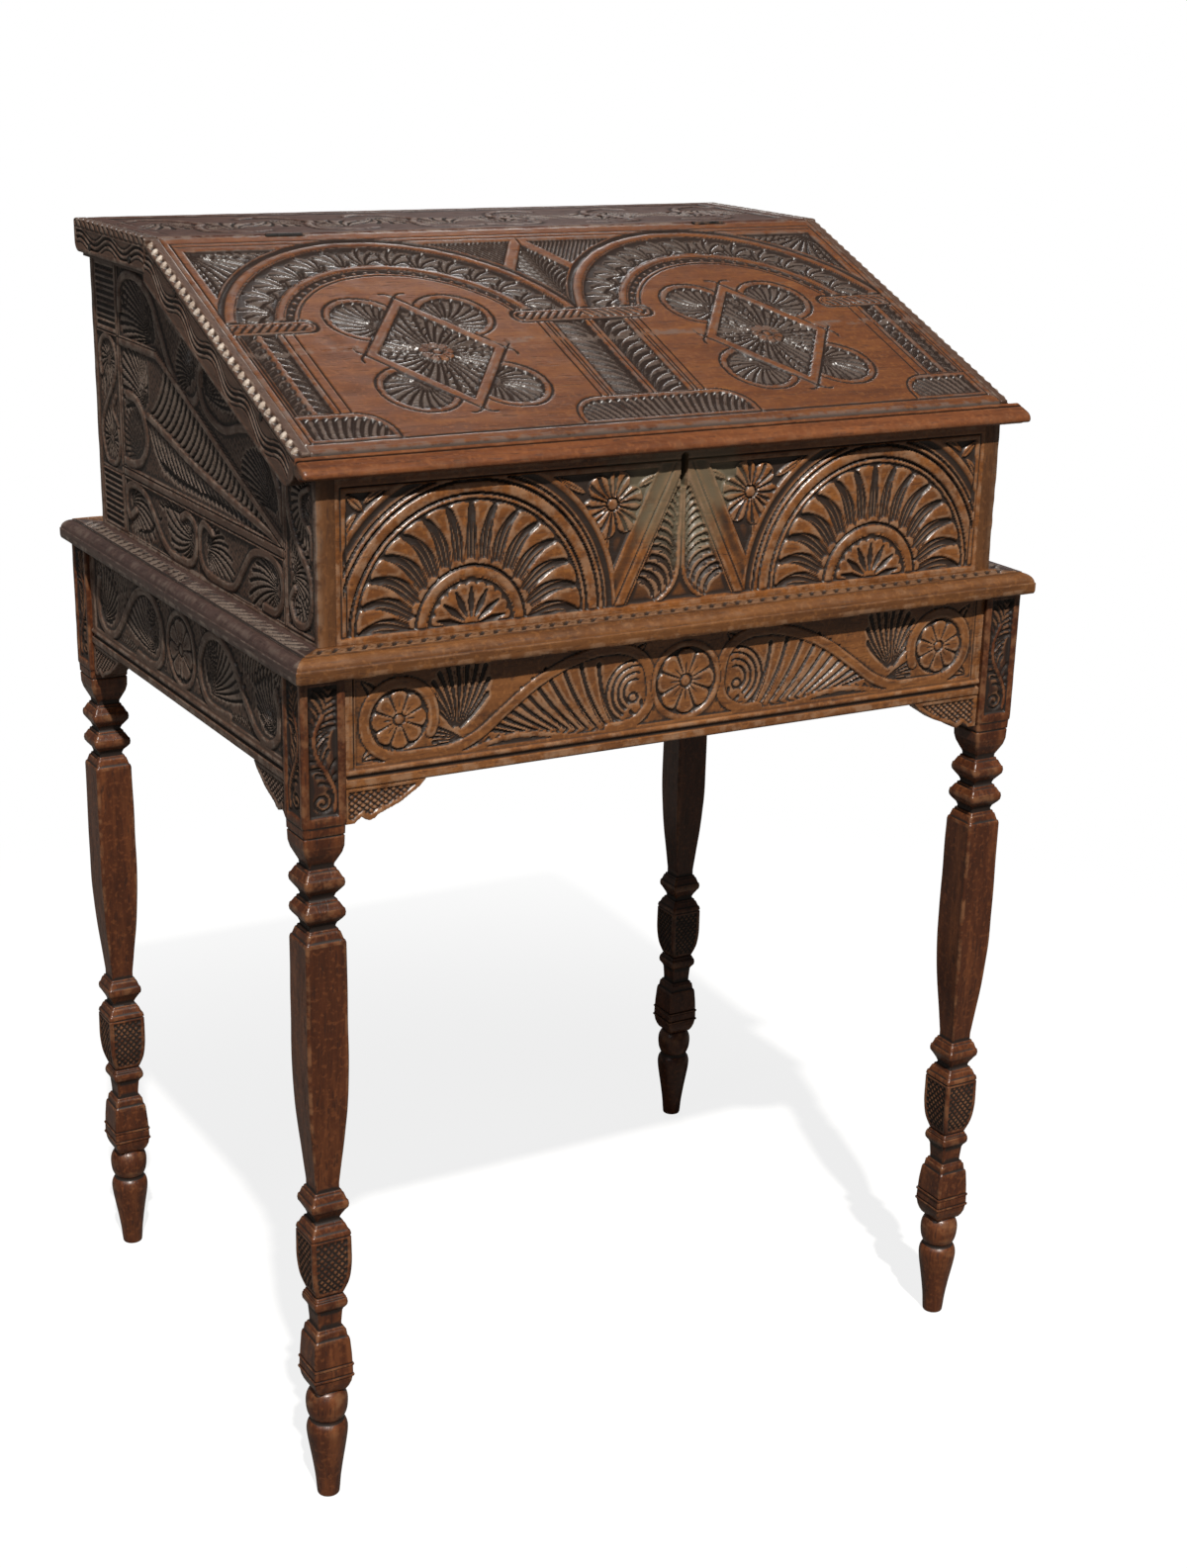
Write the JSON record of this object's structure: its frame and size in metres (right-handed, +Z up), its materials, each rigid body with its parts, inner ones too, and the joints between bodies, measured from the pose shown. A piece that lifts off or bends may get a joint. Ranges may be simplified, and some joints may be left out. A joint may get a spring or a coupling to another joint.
{
  "type": "bible box on stand",
  "caption": "Carved oak desk box with a hinged sloping lid, a flat ledge and an iron lock, resting on a moulded stand with square turned legs and carved aprons.",
  "frame": {"origin": "on the floor under the middle of the stand", "axes": "+X to the right seen from the front, -Y towards the front, +Z up"},
  "size_m": [0.7, 0.552, 1.0164],
  "materials": {
    "leg_oak": "dark waxed oak",
    "apron_oak": "waxed oak, dark in the carving",
    "top_oak": "waxed oak, worn on the edges",
    "peg_oak": "end grain oak",
    "inner_oak": "dry unwaxed oak",
    "box_oak": "golden brown waxed oak",
    "side_oak": "dark brown waxed oak",
    "lid_oak": "reddish brown polished oak",
    "iron": "dark wrought iron"
  },
  "bodies": {
    "stand": {"leg_front_left": "leg_oak", "leg_back_left": "leg_oak", "leg_front_right": "leg_oak", "leg_back_right": "leg_oak", "front_apron": "apron_oak", "right_apron": "apron_oak", "back_apron": "apron_oak", "left_apron": "apron_oak", "bracket_front_left": "apron_oak", "bracket_front_right": "apron_oak", "bracket_right_front": "apron_oak", "bracket_right_back": "apron_oak", "bracket_back_right": "apron_oak", "bracket_back_left": "apron_oak", "bracket_left_back": "apron_oak", "bracket_left_front": "apron_oak", "stand_top_front": "top_oak", "stand_top_back": "top_oak", "bracket_nails": "iron", "tenon_pegs": "peg_oak", "glue_blocks": "inner_oak"},
    "box": {"box_front": "box_oak", "box_back": "inner_oak", "box_bottom": "inner_oak", "box_side_left": "side_oak", "box_side_right": "side_oak", "ledge_board": "lid_oak", "ledge_cap_left": "side_oak", "ledge_cap_right": "side_oak", "side_fillets": "side_oak", "hinge_left_box_leaf": "iron", "hinge_right_box_leaf": "iron", "hinge_left_pin": "iron", "hinge_right_pin": "iron", "lock_case": "iron", "lock_nails": "iron", "ledge_nails": "iron", "cap_nails": "iron", "hinge_nails_box": "iron"},
    "lid": {"lid_board": "lid_oak", "lid_cleat_left": "side_oak", "lid_cleat_right": "side_oak", "lid_nosing": "lid_oak", "hinge_left_lid_leaf": "iron", "hinge_right_lid_leaf": "iron", "lid_staple": "iron", "lid_staple_nails": "iron", "cleat_nails": "iron", "hinge_nails_lid": "iron"},
    "lock_bolt": {"lock_bolt": "iron"}
  },
  "joints": [
    {"name": "box_lift", "type": "slide", "parent": "stand", "child": "box", "axis": [0, 0, 1], "range_m": [0, 0.06]},
    {"name": "lid_hinge", "type": "hinge", "parent": "box", "child": "lid", "pos_m": [0, 0.06338, 1.01404], "axis": [-1, 0, 0], "range_deg": [0, 100]},
    {"name": "lock_bolt_slide", "type": "slide", "parent": "box", "child": "lock_bolt", "axis": [1, 0, 0], "range_m": [0, 0.012]}
  ]
}
